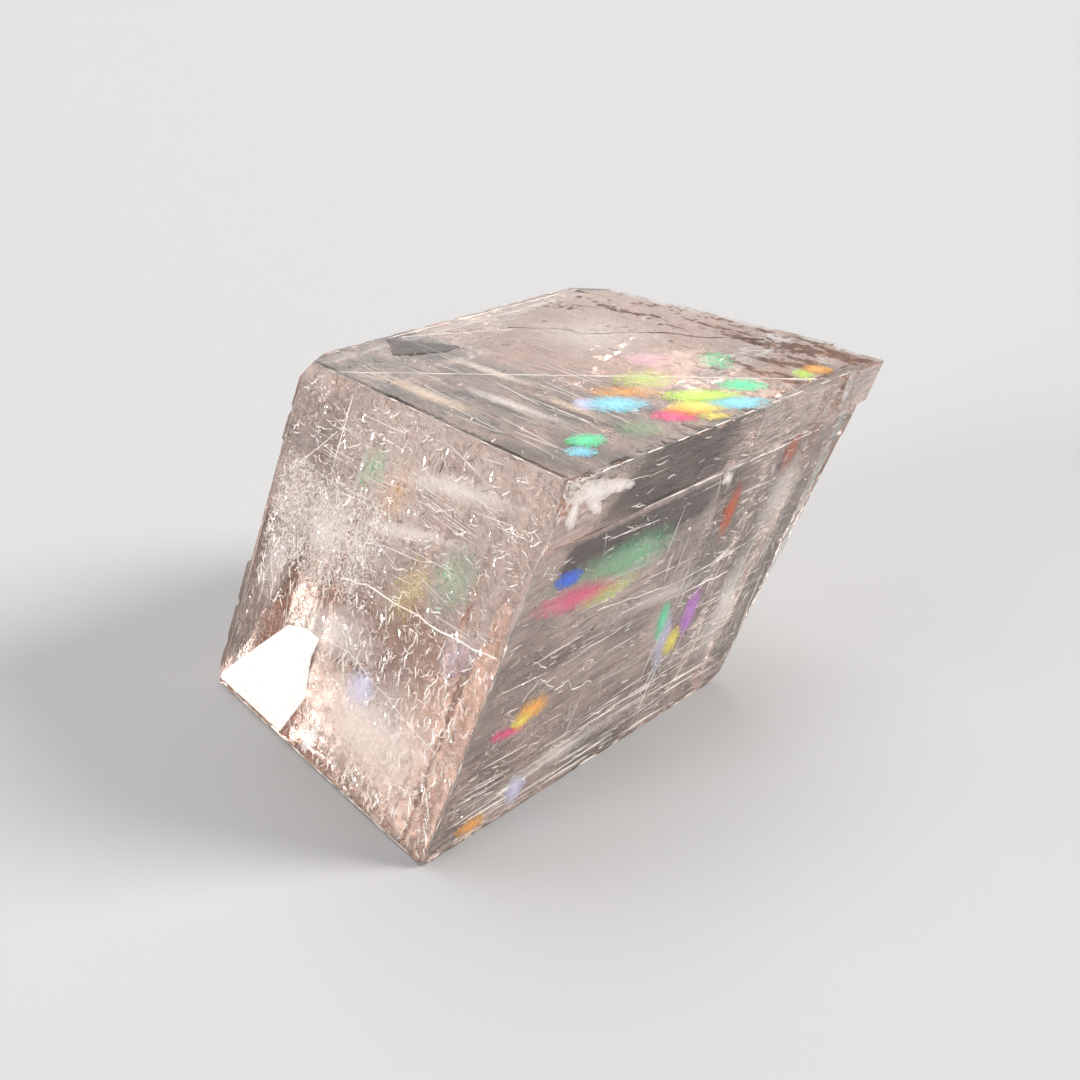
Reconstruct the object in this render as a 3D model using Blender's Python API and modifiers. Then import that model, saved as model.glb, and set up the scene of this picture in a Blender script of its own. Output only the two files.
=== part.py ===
"""Optical calcite: one cleaved rhomb of clear calcite, resting on a face.

Calcite splits along three directions that are not square to each other, so
every face is a parallelogram with corners of about 78 and 102 degrees.  The
crystal is therefore laid out in three cleavage coordinates and not in x, y, z:

    across   along the shorter edge of the top face
    along    along the longer edge of the top face, which is world +X
    down     down the side edges, from the top face to the resting face

The block starts a little oversize.  Slabs that follow the cleavage take it
down to its stepped faces, a narrow bevel stands for the worn edges, and small
solids then break chips and facets out of the edges and corners.

Units are metres.  The world origin is the centre of the resting face.
"""
import math
import random

import bpy
from mathutils import Matrix, Vector

MM = 0.001

# The size and the angle that everything else follows.
FACE_ANGLE = math.radians(78.083)   # acute corner of every cleavage face
EDGE_ACROSS = 75.0 * MM
EDGE_ALONG = 79.8 * MM
EDGE_DOWN = 68.0 * MM

# What stands proud of those three edges before the steps are cut.
PROUD_FRONT = 2.9 * MM      # ledges on the front face, at the long top edge
PROUD_BACK = 1.1 * MM       # ledge on the back face
PROUD_END = 6.8 * MM        # leaning end face and the strip on it
OVERSHOOT = 12.0 * MM       # how far a cutter reaches past what it cuts

# The end and back faces lean off the cleavage, in millimetres and per millimetre.
END_LEVEL, END_LEAN_ACROSS, END_LEAN_DOWN = 85.4, 0.09, 0.085
BACK_LEVEL, BACK_LEAN_ALONG, BACK_LEAN_DOWN = 75.9, 0.0146, 0.034
STRIP_TOP, STRIP_STEP = 2.1, 1.5        # heights of the end face's two-step strip
SHALLOW_STEP = 0.45                     # depth of the step across the end face
BACK_CORNER = 1.1                       # height of the back face's proud corner

EDGE_WEAR = 0.35 * MM       # width of the bevel along unbroken edges
RISER_SLOPE = 0.5           # a step's riser leans by this much of its height

CHIP_SEED = 11

CRYSTAL_COLOUR = (0.91, 0.84, 0.80, 1.0)
CRYSTAL_ROUGHNESS = 0.04
CRYSTAL_IOR = 1.6


# ---------------------------------------------------------------- scene

def clear_scene():
    for scene_object in list(bpy.data.objects):
        bpy.data.objects.remove(scene_object, do_unlink=True)


def new_collection(name, parent=None):
    collection = bpy.data.collections.new(name)
    (parent or bpy.context.scene.collection).children.link(collection)
    return collection


def move_to(scene_object, collection):
    for owner in list(scene_object.users_collection):
        owner.objects.unlink(scene_object)
    collection.objects.link(scene_object)


def crystal_material():
    material = bpy.data.materials.new("clear_calcite")
    material.use_nodes = True
    shader = material.node_tree.nodes["Principled BSDF"]
    shader.inputs["Base Color"].default_value = CRYSTAL_COLOUR
    shader.inputs["Roughness"].default_value = CRYSTAL_ROUGHNESS
    shader.inputs["Metallic"].default_value = 0.0
    shader.inputs["IOR"].default_value = CRYSTAL_IOR
    shader.inputs["Transmission Weight"].default_value = 1.0
    return material


# ---------------------------------------------------------------- lattice

def cleavage_matrix():
    """Take (across, along, down) to world x, y, z, about the base's centre."""
    cosine, sine = math.cos(FACE_ANGLE), math.sin(FACE_ANGLE)
    across = Vector((cosine, sine, 0.0))
    along = Vector((1.0, 0.0, 0.0))
    down_y = cosine * (1.0 + cosine) / sine
    down = Vector((-cosine, down_y, -math.sqrt(1.0 - cosine ** 2 - down_y ** 2)))
    turn = Matrix((across, along, down)).transposed()
    base_centre = turn @ Vector((EDGE_ACROSS / 2, EDGE_ALONG / 2, EDGE_DOWN))
    return Matrix.Translation(-base_centre) @ turn.to_4x4()


CLEAVAGE = cleavage_matrix()


def world(across, along, down):
    """World place of a point given in millimetres along the cleavages."""
    return CLEAVAGE @ (Vector((across, along, down)) * MM)


def slab(name, corner, first, second, third, collection):
    """A sheared box: a corner and three edges, all in cleavage millimetres."""
    edges = Matrix((first, second, third)).transposed() * MM
    centre = (Vector(corner) + 0.5 * (Vector(first) + Vector(second) + Vector(third))) * MM
    placed = CLEAVAGE @ Matrix.Translation(centre) @ edges.to_4x4()
    bpy.ops.mesh.primitive_cube_add(size=1.0)
    box = bpy.context.object
    box.name = name
    box.data.transform(placed)
    if placed.determinant() < 0.0:
        box.data.flip_normals()
    move_to(box, collection)
    return box


def as_cutter(box):
    box.hide_render = True
    box.display_type = "WIRE"


# ---------------------------------------------------------------- steps

def end_point(across, down, above=0.0):
    """A point on the leaning end face, or above it by some millimetres."""
    level = END_LEVEL - END_LEAN_ACROSS * across - END_LEAN_DOWN * down
    return Vector((across, level + above, down))


def end_terraces(cutters):
    """The end face leans off the cleavage, with a stepped strip by its near edge."""
    reach = OVERSHOOT / MM
    lean = RISER_SLOPE * reach
    steps = (           # name, two ends of the step line, a point on the cut side, rise
        ("end_face_whole", end_point(-20, -20, STRIP_TOP), end_point(140, -20, STRIP_TOP),
         end_point(-20, 140, STRIP_TOP), (0.0, reach, 0.0)),
        ("end_strip_second_part", end_point(-20, 16.5, STRIP_STEP), end_point(140, 17.5, STRIP_STEP),
         end_point(-20, 140, STRIP_STEP), (0.0, reach, -lean)),
        ("end_face_past_strip", end_point(14.5, -26), end_point(-17.5, 130),
         end_point(160, -26), (-lean, reach, 0.0)),
        ("end_face_shallow_step", end_point(52, -20, -SHALLOW_STEP), end_point(38, 90, -SHALLOW_STEP),
         end_point(160, -20, -SHALLOW_STEP), (-lean, reach, 0.0)),
    )
    for name, near, far, below, rise in steps:
        as_cutter(slab(name, near, far - near, below - near, rise, cutters))
    as_cutter(slab("far_top_corner_notch", (-15.0, 82.9, -8.0),
                   (25.0, 0.0, 0.0), (-4.0, 24.0, 0.0), (0.0, 0.0, 17.0), cutters))


def front_ledges(cutters):
    """A thin ledge along the front face's top edge, thickest at its far end."""
    reach = OVERSHOOT / MM
    outward = (-reach, 0.0, 0.0)
    below = slab("front_face_below_ledge", (0.0, -20.0, 13.0),
                 (-reach, 0.0, -RISER_SLOPE * reach), (0.0, 130.0, -4.9), (0.0, 0.0, 90.0), cutters)
    near = slab("front_ledge_near_part", (0.35, -20.0, -10.0),
                outward, (-2.1, 64.0, 0.0), (0.0, 7.0, 34.0), cutters)
    middle = slab("front_ledge_middle_part", (-1.95, -20.0, -10.0),
                  outward, (0.0, 91.0, 0.0), (0.0, 6.0, 34.0), cutters)
    for box in (below, near, middle):
        as_cutter(box)


def back_point(along, down, above=0.0):
    """A point on the back face, which leans a little off the cleavage."""
    level = BACK_LEVEL - BACK_LEAN_ALONG * along - BACK_LEAN_DOWN * down
    return Vector((level + above, along, down))


def back_ledge(cutters):
    """The back face, with one corner of it a step proud at the foot of its left edge."""
    reach = OVERSHOOT / MM
    near, far, cut_side = back_point(-14, 16), back_point(56, 140), back_point(130, 16)
    as_cutter(slab("back_face_past_corner", near, far - near, cut_side - near,
                   (reach, -RISER_SLOPE * reach, 0.0), cutters))
    near, below, beside = (back_point(*place, BACK_CORNER) for place in ((-20, -20), (-20, 140), (140, -20)))
    as_cutter(slab("back_face_whole", near, below - near, beside - near, (reach, 0.0, 0.0), cutters))


# ---------------------------------------------------------------- chips

def facet(name, points, height, collection):
    """Break a corner off flat: a block whose base holds the three points."""
    corners = [world(*point) for point in points]
    middle = sum(corners, Vector()) / 3.0
    outward = (corners[1] - corners[0]).cross(corners[2] - corners[0]).normalized()
    if outward.dot(middle - world(37.5, 40.0, 34.0)) < 0.0:
        outward.negate()
    side = 2.6 * max((corner - middle).length for corner in corners)
    bpy.ops.mesh.primitive_cube_add(size=1.0)
    block = bpy.context.object
    block.name = name
    block.data.transform(Matrix.Diagonal((side, side, height * MM, 1.0)))
    block.data.transform(Matrix.Translation((0.0, 0.0, height * MM / 2)))
    turn = outward.to_track_quat("Z", "Y").to_matrix().to_4x4()
    block.data.transform(Matrix.Translation(middle) @ turn)
    move_to(block, collection)
    as_cutter(block)


def corner_facets(chips):
    facet("near_top_corner", ((1.2, 0.0, 0.0), (0.0, 5.0, 0.0), (0.0, 0.0, 6.6)), 8.0, chips)
    facet("left_top_corner", ((73.0, 0.0, 0.0), (76.0, 4.6, 0.0), (76.0, 0.0, 3.6)), 8.0, chips)
    facet("back_top_corner", ((74.8, 73.5, 0.0), (68.0, 79.3, 0.0), (74.3, 77.5, 12.0)), 9.0, chips)
    facet("left_bottom_corner", ((72.8, 0.0, 68.0), (74.5, 1.5, 68.0), (74.5, 0.0, 65.0)), 6.0, chips)
    facet("near_bottom_corner", ((1.8, 0.0, 68.0), (0.0, 1.2, 68.0), (0.0, 0.0, 66.8)), 6.0, chips)
    facet("back_bottom_corner", ((71.5, 71.5, 68.0), (70.0, 73.0, 68.0), (72.2, 73.0, 65.5)), 6.0, chips)
    facet("right_bottom_corner", ((0.0, 77.4, 68.0), (2.2, 79.4, 68.0), (0.0, 79.7, 66.2)), 6.0, chips)


def chip(name, place, edge_direction, inward, length, depth, turn, collection):
    """A shell-shaped chip: a faceted ball, drawn out along the edge."""
    girth = 3.2 * depth
    bpy.ops.mesh.primitive_ico_sphere_add(subdivisions=1, radius=1.0)
    ball = bpy.context.object
    ball.name = name
    ball.data.transform(Matrix.Rotation(turn, 4, "X"))
    ball.data.transform(Matrix.Diagonal((length / 2, girth, girth, 1.0)))
    frame_x = edge_direction.normalized()
    frame_z = inward.normalized()
    frame_y = frame_z.cross(frame_x).normalized()
    frame_z = frame_x.cross(frame_y)
    placed = Matrix((frame_x, frame_y, frame_z)).transposed().to_4x4()
    placed.translation = place - frame_z * (girth - depth)
    ball.data.transform(placed)
    move_to(ball, collection)
    as_cutter(ball)


def edge_chips(name, start, end, count, length, depth, chips, dice):
    """Chips of uneven size at uneven places along one edge of the block."""
    first, last = world(*start), world(*end)
    direction = last - first
    inward = world(37.5, 40.0, 34.0) - (first + last) / 2
    inward -= direction * (inward.dot(direction) / direction.length_squared)
    for index in range(count):
        share = (index + dice.uniform(0.15, 0.85)) / count
        lean = Vector([dice.uniform(-0.25, 0.25) for _ in range(3)]) * inward.length
        chip(f"{name}_{index + 1}", first + direction * share, direction, inward + lean,
             dice.uniform(0.6, 1.5) * length * MM, dice.uniform(0.35, 1.3) * depth * MM,
             dice.uniform(0.0, 6.28), chips)


def scattered_chips(chips):
    """Every edge is a little broken, and the near bottom edge most of all."""
    dice = random.Random(CHIP_SEED)
    edges = (           # name, start, end, count, usual length, usual depth
        ("ragged_left_base", (73.0, 0.0, 68.0), (3.0, 0.0, 68.0), 17, 7.5, 0.9),
        ("front_base", (0.0, 3.0, 68.0), (0.0, 77.0, 68.0), 11, 6.0, 0.55),
        ("front_top", (-0.4, 6.0, 0.0), (-2.1, 82.0, 0.0), 11, 6.5, 0.5),
        ("near_side", (0.0, 0.0, 8.0), (0.0, 0.0, 65.0), 8, 5.0, 0.4),
        ("left_top", (70.0, 0.0, 0.0), (2.0, 0.0, 0.0), 8, 6.0, 0.35),
        ("back_top", (76.0, 8.0, 0.0), (75.2, 70.0, 0.0), 8, 6.0, 0.45),
        ("left_side", (75.9, 0.0, 6.0), (74.8, 0.0, 62.0), 7, 5.0, 0.5),
        ("far_side", (0.0, 85.6, 18.0), (0.0, 79.9, 65.0), 7, 4.5, 0.4),
        ("end_top", (12.0, 84.2, 0.0), (64.0, 79.2, 0.0), 6, 5.0, 0.45),
        ("back_side", (74.2, 77.0, 14.0), (72.6, 73.4, 64.0), 6, 6.0, 0.5),
        ("back_base", (73.5, 18.0, 68.0), (72.4, 72.0, 68.0), 7, 6.5, 0.6),
        ("end_base", (4.0, 79.2, 68.0), (70.0, 73.2, 68.0), 8, 6.0, 0.6),
    )
    for name, start, end, count, length, depth in edges:
        edge_chips(name, start, end, count, length, depth, chips, dice)


def large_chips(chips):
    """The few breaks that are seen from a step away."""
    down = world(0.0, 0.0, 1.0) - world(0.0, 0.0, 0.0)
    along = world(0.0, 1.0, 0.0) - world(0.0, 0.0, 0.0)
    across = world(1.0, 0.0, 0.0) - world(0.0, 0.0, 0.0)
    chip("top_edge_bruise", world(-0.6, 10.5, 0.2), along, across + 0.7 * down,
         13.0 * MM, 1.1 * MM, 0.4, chips)
    chip("base_edge_break", world(0.1, 40.5, 68.0), along, across - down,
         11.0 * MM, 1.7 * MM, 1.1, chips)
    chip("ledge_break", world(-0.6, 43.0, 11.0), along + 0.6 * down, across,
         7.0 * MM, 1.0 * MM, 2.0, chips)
    chip("front_face_shell", world(0.0, 71.5, 33.0), along - 0.4 * down, across,
         8.0 * MM, 0.7 * MM, 0.9, chips)
    chip("back_top_notch", world(64.5, 79.2, 0.0), across, down - along,
         5.0 * MM, 1.2 * MM, 0.2, chips)
    chip("left_side_notch", world(75.0, 0.0, 33.0), down, along - across,
         6.0 * MM, 0.9 * MM, 1.7, chips)


# ---------------------------------------------------------------- crystal

def cut_with(crystal, cutters, name):
    boolean = crystal.modifiers.new(name, "BOOLEAN")
    boolean.operation = "DIFFERENCE"
    boolean.solver = "EXACT"
    boolean.operand_type = "COLLECTION"
    boolean.collection = cutters


def calcite_rhomb(collection, steps, chips):
    crystal = slab(
        "calcite_rhomb",
        (-PROUD_FRONT / MM, 0.0, 0.0),
        ((EDGE_ACROSS + PROUD_FRONT + PROUD_BACK) / MM, 0.0, 0.0),
        (0.0, (EDGE_ALONG + PROUD_END) / MM, 0.0),
        (0.0, 0.0, EDGE_DOWN / MM),
        collection,
    )
    crystal.data.materials.append(crystal_material())
    cut_with(crystal, steps, "cleavage_steps")
    wear = crystal.modifiers.new("edge_wear", "BEVEL")
    wear.width = EDGE_WEAR
    wear.segments = 1
    wear.limit_method = "ANGLE"
    wear.angle_limit = math.radians(35.0)
    cut_with(crystal, chips, "chips")
    return crystal


def main():
    clear_scene()
    parts = new_collection("optical_calcite")
    cutters = new_collection("cutters")
    steps = new_collection("step_cutters", cutters)
    chips = new_collection("chip_cutters", cutters)
    end_terraces(steps)
    front_ledges(steps)
    back_ledge(steps)
    corner_facets(chips)
    scattered_chips(chips)
    large_chips(chips)
    calcite_rhomb(parts, steps, chips)


main()
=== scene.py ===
# %% [markdown]
# A rhomb of clear calcite, dressed for its portrait.
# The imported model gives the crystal's real shape. This script gives it its looks: clear, faintly
# pink calcite with scored, uneven faces, and the cracks and veils that flash inside it.

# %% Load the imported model
import math
import random

import bpy
from mathutils import Matrix, Vector
from mathutils import noise as noise_of

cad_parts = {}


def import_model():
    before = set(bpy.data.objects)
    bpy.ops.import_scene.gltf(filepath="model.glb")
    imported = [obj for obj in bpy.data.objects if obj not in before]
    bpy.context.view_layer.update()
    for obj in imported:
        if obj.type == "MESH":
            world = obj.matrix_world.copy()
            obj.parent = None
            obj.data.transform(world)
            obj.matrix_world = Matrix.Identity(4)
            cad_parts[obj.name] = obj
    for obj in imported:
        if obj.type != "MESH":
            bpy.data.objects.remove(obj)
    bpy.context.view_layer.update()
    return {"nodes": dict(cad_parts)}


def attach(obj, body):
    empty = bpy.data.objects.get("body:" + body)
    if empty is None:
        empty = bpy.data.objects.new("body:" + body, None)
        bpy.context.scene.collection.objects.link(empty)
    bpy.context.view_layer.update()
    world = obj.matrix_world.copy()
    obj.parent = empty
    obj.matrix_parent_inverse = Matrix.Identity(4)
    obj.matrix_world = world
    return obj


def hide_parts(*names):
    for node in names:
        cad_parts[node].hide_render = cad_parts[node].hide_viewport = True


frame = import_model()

# %% [markdown]
# Calcite splits along three directions that are not square to each other. Everything here is
# placed in those three: across and along the top face, and down the sides, in millimetres from
# the near top corner. One matrix turns such a place into Blender's metres.

# %% The cleavage frame
MM = 0.001
FACE_ANGLE = math.radians(78.083)
ACROSS, ALONG, DOWN = 75.0, 79.8, 68.0

def cleavage_matrix():
    cosine, sine = math.cos(FACE_ANGLE), math.sin(FACE_ANGLE)
    slope = cosine * (1.0 + cosine) / sine
    across = Vector((cosine, sine, 0.0))
    along = Vector((1.0, 0.0, 0.0))
    down = Vector((-cosine, slope, -math.sqrt(1.0 - cosine ** 2 - slope ** 2)))
    turn = Matrix((across, along, down)).transposed() * MM
    base_centre = turn @ Vector((ACROSS / 2, ALONG / 2, DOWN))
    return Matrix.Translation(-base_centre) @ turn.to_4x4()

CLEAVAGE = cleavage_matrix()
TO_CLEAVAGE = CLEAVAGE.inverted()
AXES = CLEAVAGE.to_3x3()

def world(across, along, down):
    return CLEAVAGE @ Vector((across, along, down))

def face_normal(first, second):
    """The outward normal of the face that holds two cleavage directions."""
    return (AXES @ Vector(first)).cross(AXES @ Vector(second)).normalized()

OUTWARD = {
    "top": face_normal((0, 1, 0), (1, 0, 0)), "left": face_normal((1, 0, 0), (0, 0, 1)),
    "front": face_normal((0, 0, 1), (0, 1, 0)), "base": face_normal((1, 0, 0), (0, 1, 0)),
    "back": face_normal((0, 1, 0), (0, 0, 1)), "end": face_normal((0, 0, 1), (1, 0, 0)),
}
for side, normal in OUTWARD.items():
    print(side, "faces", [round(v, 3) for v in normal])

# %% [markdown]
# The camera stands close, about 19 cm off, and looks down by 23 degrees, so the top face and two
# sides are seen at once. Its turn is given as three plain rotations: about the upright, down, and
# a touch of roll.

# %% Camera
CAMERA_PLACE = (-0.16818, -0.16624, 0.13145)
CAMERA_DOWN, CAMERA_TURN, CAMERA_ROLL = 23.39, -48.82, 0.14
CAMERA_LENS, SENSOR_WIDTH, NEAREST_SEEN = 45.99, 36.0, 0.005

def add_camera():
    lens = bpy.data.cameras.new("portrait_camera")
    lens.sensor_width, lens.lens, lens.clip_start = SENSOR_WIDTH, CAMERA_LENS, NEAREST_SEEN
    camera = bpy.data.objects.new("portrait_camera", lens)
    bpy.context.scene.collection.objects.link(camera)
    turn = (Matrix.Rotation(math.radians(CAMERA_TURN), 4, "Z")
            @ Matrix.Rotation(math.radians(90.0 - CAMERA_DOWN), 4, "X")
            @ Matrix.Rotation(math.radians(CAMERA_ROLL), 4, "Z"))
    camera.matrix_world = Matrix.Translation(CAMERA_PLACE) @ turn
    bpy.context.scene.camera = camera

add_camera()
print("camera, mm from the middle of the base:", [round(1000 * v) for v in CAMERA_PLACE])

# %% [markdown]
# A finish is a tree of nodes. Every node could be added and joined one line at a time, but then a
# short sum takes a page. These helpers add a node, set its inputs and hand back its result. The
# last one is for modelling: an operator acts on all that is selected, so that is set first.

# %% Helpers for nodes and for selecting
def feed(tree, made, inputs):
    """Set a node's inputs. Each is given a socket to join to it, or a plain value."""
    for name, source in inputs.items():
        if isinstance(source, bpy.types.NodeSocket):
            tree.links.new(source, made.inputs[name])
        else:
            made.inputs[name].default_value = source

def node(tree, kind, inputs, **settings):
    made = tree.nodes.new(kind)
    for name, value in settings.items():
        setattr(made, name, value)
    feed(tree, made, inputs)
    return made

def maths(tree, operation, first, second):
    return node(tree, "ShaderNodeMath", {0: first, 1: second}, operation=operation).outputs[0]

def mark(tree, name, output="Fac"):
    """Read what the mesh says under a name: a number, a colour or a place."""
    return node(tree, "ShaderNodeAttribute", {}, attribute_name=name).outputs[output]

def noise(tree, place, scale, detail=3.0, roughness=0.55, distortion=0.0):
    return node(tree, "ShaderNodeTexNoise", {
        "Vector": place, "Scale": scale, "Detail": detail,
        "Roughness": roughness, "Distortion": distortion}).outputs[0]

def ranged(tree, value, low, high, to_low=0.0, to_high=1.0):
    """Stretch the range from low to high to a new one, and clamp what lies beyond it."""
    return node(tree, "ShaderNodeMapRange", {
        "Value": value, "From Min": low, "From Max": high,
        "To Min": to_low, "To Max": to_high}).outputs[0]

def mixed(tree, factor, none, full):
    """A colour between two plain ones."""
    return node(tree, "ShaderNodeMix", {"Factor": factor, 6: (*none, 1.0), 7: (*full, 1.0)},
                data_type="RGBA").outputs[2]

def new_finish(name):
    """A material with its tree of nodes and the shader that the tree starts with."""
    material = bpy.data.materials.new(name)
    material.use_nodes = True
    return material, material.node_tree, material.node_tree.nodes["Principled BSDF"]

def select_only(*objects):
    """Select these and nothing else; the first of them becomes the active one."""
    bpy.ops.object.select_all(action="DESELECT")
    for each in reversed(objects):
        each.select_set(True)
        bpy.context.view_layer.objects.active = each

# %% [markdown]
# The stand is a bare studio: one wide pale floor and an even grey surround. A clear crystal shows
# whatever lights it, so the lamps are round, soft suns. The key light comes from the right and
# falls on the front face. A high one lights the top, another the left face, and two weak ones keep
# the far faces from going dark.

# %% Floor, backdrop and light
FLOOR_COLOUR, FLOOR_ROUGHNESS = (0.46, 0.465, 0.475, 1.0), 0.85
FLOOR_SIZE, FLOOR_GAP = 30.0, 0.0003
SURROUND = (0.208, 0.20, 0.193, 1.0)
SUNS = (   # name, degrees round from +Y towards +X, degrees up, width in degrees, strength, colour
    ("key_light", 142.0, 35.0, 22.0, 3.6, (1.0, 0.97, 0.94)),
    ("high_light", 60.0, 75.0, 50.0, 1.7, (1.0, 0.99, 0.98)),
    ("left_light", -80.0, 12.0, 24.0, 2.4, (1.0, 0.98, 0.96)),
    ("back_light", 47.0, 28.0, 34.0, 0.30, (1.0, 0.97, 0.94)),
    ("rear_light", -38.0, 32.0, 40.0, 0.45, (1.0, 0.96, 0.92)),
)

def add_floor():
    select_only()
    bpy.ops.mesh.primitive_plane_add(size=FLOOR_SIZE, location=(0.0, 0.0, -FLOOR_GAP))
    floor = bpy.context.object
    floor.name = "studio_floor"
    material, tree, shader = new_finish("pale_floor")
    feed(tree, shader, {"Base Color": FLOOR_COLOUR, "Roughness": FLOOR_ROUGHNESS})
    floor.data.materials.append(material)

def add_soft_sun(name, azimuth, height, width, strength, colour):
    """A round soft light so far off that the whole floor gets the same share of it."""
    lamp = bpy.data.lights.new(name, "SUN")
    lamp.energy, lamp.angle, lamp.color = strength, math.radians(width), colour
    holder = bpy.data.objects.new(name, lamp)
    around, up = math.radians(azimuth), math.radians(height)
    towards = Vector((math.sin(around) * math.cos(up), math.cos(around) * math.cos(up), math.sin(up)))
    holder.rotation_euler = (-towards).to_track_quat("-Z", "Y").to_euler()
    holder.location = towards
    bpy.context.scene.collection.objects.link(holder)

def add_surround():
    surround = bpy.data.worlds.new("studio")
    surround.use_nodes = True
    surround.node_tree.nodes["Background"].inputs["Color"].default_value = SURROUND
    bpy.context.scene.world = surround

add_floor()
add_surround()
for sun in SUNS:
    add_soft_sun(*sun)
print("suns:", [sun[0] for sun in SUNS])

# %% [markdown]
# Light crosses many walls in a crystal full of cracks: each one bends it or throws it back. If the
# renderer gave up after a few of them, the crystal would turn black inside, so it may follow a ray
# through far more than its usual number.

# %% How far light is followed
scene = bpy.context.scene
scene.view_settings.view_transform = "Standard"
scene.cycles.max_bounces = scene.cycles.transmission_bounces = 20
scene.cycles.transparent_max_bounces = 16
scene.cycles.glossy_bounces = 10
scene.cycles.diffuse_bounces = 6
print("light is followed through", scene.cycles.max_bounces, "walls")

# %% [markdown]
# The crystal is one grown piece, split to shape along its cleavages. It could be built afresh from
# a box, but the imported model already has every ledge, nick and bevel. Its mesh is loose triangles,
# so a copy is merged, and triangles that lie flat together become whole faces again.

# %% Crystal body
MERGE_WITHIN, FLAT_WITHIN = 0.000002, math.radians(0.4)

def crystal_from_frame():
    packed = frame["nodes"]["calcite_rhomb"]
    crystal = bpy.data.objects.new("calcite_crystal", packed.data.copy())
    scene.collection.objects.link(crystal)
    select_only(crystal)
    bpy.ops.object.mode_set(mode="EDIT")
    bpy.ops.mesh.select_all(action="SELECT")
    bpy.ops.mesh.remove_doubles(threshold=MERGE_WITHIN)
    bpy.ops.mesh.dissolve_limited(angle_limit=FLAT_WITHIN)
    bpy.ops.object.mode_set(mode="OBJECT")
    crystal.data.materials.clear()
    return crystal

crystal = crystal_from_frame()
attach(crystal, "root")
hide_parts("calcite_rhomb")
print("crystal faces", len(crystal.data.polygons))

# %% [markdown]
# A cleaved face is not one flat pane. It is made of small facets that are tipped by a few degrees
# and drawn out into streaks, and they break up all that is seen through it. A bump texture alone
# can't do that, because it never moves the wall that the light leaves by. So the faces are scored
# with bisect cuts that follow the three cleavages, for the next step to push their crossings in.

# %% Scoring the faces
score_dice = random.Random(3)
SPACING_SWAY = (0.75, 1.25)
SCORES = (   # side that the cuts lie parallel to, direction they march in, how far, spacing
    ("back", (1, 0, 0), 74.0, 1.15),
    ("end", (0, 1, 0), 85.0, 1.2),
    ("base", (0, 0, 1), 67.5, 1.15),
)

def score_faces(side, direction, reach, spacing):
    """Cut the whole skin by planes across one cleavage direction, unevenly spaced."""
    distance, count = spacing, 0
    while distance < reach:
        bpy.ops.mesh.select_all(action="SELECT")
        bpy.ops.mesh.bisect(plane_co=world(*[distance * v for v in direction]), plane_no=OUTWARD[side])
        distance += spacing * score_dice.uniform(*SPACING_SWAY)
        count += 1
    return count

select_only(crystal)
bpy.ops.object.mode_set(mode="EDIT")
cuts = [score_faces(*score) for score in SCORES]
bpy.ops.object.mode_set(mode="OBJECT")
print("cuts", cuts, "faces", len(crystal.data.polygons))

# %% [markdown]
# The relief comes from smooth noise: a fine wave and a broad one for each side, drawn out the way
# that its streaks run. Each crossing is pushed in by up to half a millimetre. The outline and the
# edges stay as they were packed, so the crystal keeps its box.

# %% Relief of the faces
def wave(across, along, down, shift=0.0):
    """A smooth random height from 0 to 1."""
    return 0.5 + 0.5 * noise_of.noise(Vector((across + shift, along - shift, down + 2.0 * shift)))

def smooth(value, low, high):
    """0 below low, 1 above high, and an even rise between."""
    step = min(1.0, max(0.0, (value - low) / (high - low)))
    return step * step * (3.0 - 2.0 * step)

RELIEF = {   # how deep a crossing is pushed in, in millimetres, at a place p across, q along, r down
    "left": lambda p, q, r: 0.18 * wave(0.8 * p, 0, 0.8 * r) + 0.22 * wave(0.25 * p, 0, 0.3 * r, 9.0),
    "top": lambda p, q, r: 0.05 * wave(0.12 * p, 0.5 * q, 0) + 0.24 * wave(0.06 * p, 0.2 * q, 0, 5.0),
    "front": lambda p, q, r: 0.09 * wave(0, 0.1 * q, 0.75 * r) + 0.16 * wave(0, 0.06 * q, 0.2 * r, 3.0),
    "base": lambda p, q, r: 0.14 * wave(0.8 * p, 0.4 * q, 0) + 0.2 * wave(0.2 * p, 0.2 * q, 0, 2.0),
    "back": lambda p, q, r: 0.14 * wave(0, 0.5 * q, 0.8 * r) + 0.2 * wave(0, 0.2 * q, 0.25 * r, 7.0),
    "end": lambda p, q, r: 0.14 * wave(0.8 * p, 0, 0.3 * r) + 0.2 * wave(0.25 * p, 0, 0.1 * r, 4.0),
}
ROUGHEN = {"left": 0.12, "top": 0.03, "front": 0.04, "base": 0.09, "back": 0.08, "end": 0.07}
IN_FACE = {"left": (1, 0, 1), "end": (1, 0, 1), "front": (0, 1, 1), "back": (0, 1, 1),
           "top": (1, 1, 0), "base": (1, 1, 0)}   # the directions that a crossing may slide in
SLIDE = 0.28        # the most that it slides, as a share of its shortest edge
DEEPEST = 0.5       # the most that it is pushed in, as a share of the same edge

def calm(p, q, r):
    """How much relief a place keeps: the corner with the glow is nearly flat, for clean borders."""
    return 1.0 - 0.85 * smooth(p, 40.0, 48.0) * smooth(r, 42.0, 48.0) * (1.0 - smooth(q, 30.0, 45.0))

# %% [markdown]
# An edge must not move, and a crossing next to one has little room. So the script first notes which
# sides every crossing touches, and how far away its nearest neighbour is.

# %% Sides and room
SAME_WAY = 0.97      # 1 means that a face looks exactly the way of its side
MOST_ROOM = 1.0

def side_of(normal):
    """The side that a face belongs to, or broken for a chip, a ledge's foot or a bevel."""
    return next((side for side, outward in OUTWARD.items() if normal.dot(outward) > SAME_WAY), "broken")

def sides_met(mesh, face_sides):
    """For every vertex, the sides that it touches."""
    met = [set() for _ in mesh.vertices]
    for polygon, side in zip(mesh.polygons, face_sides):
        for corner in polygon.vertices:
            met[corner].add(side)
    return met

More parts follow.
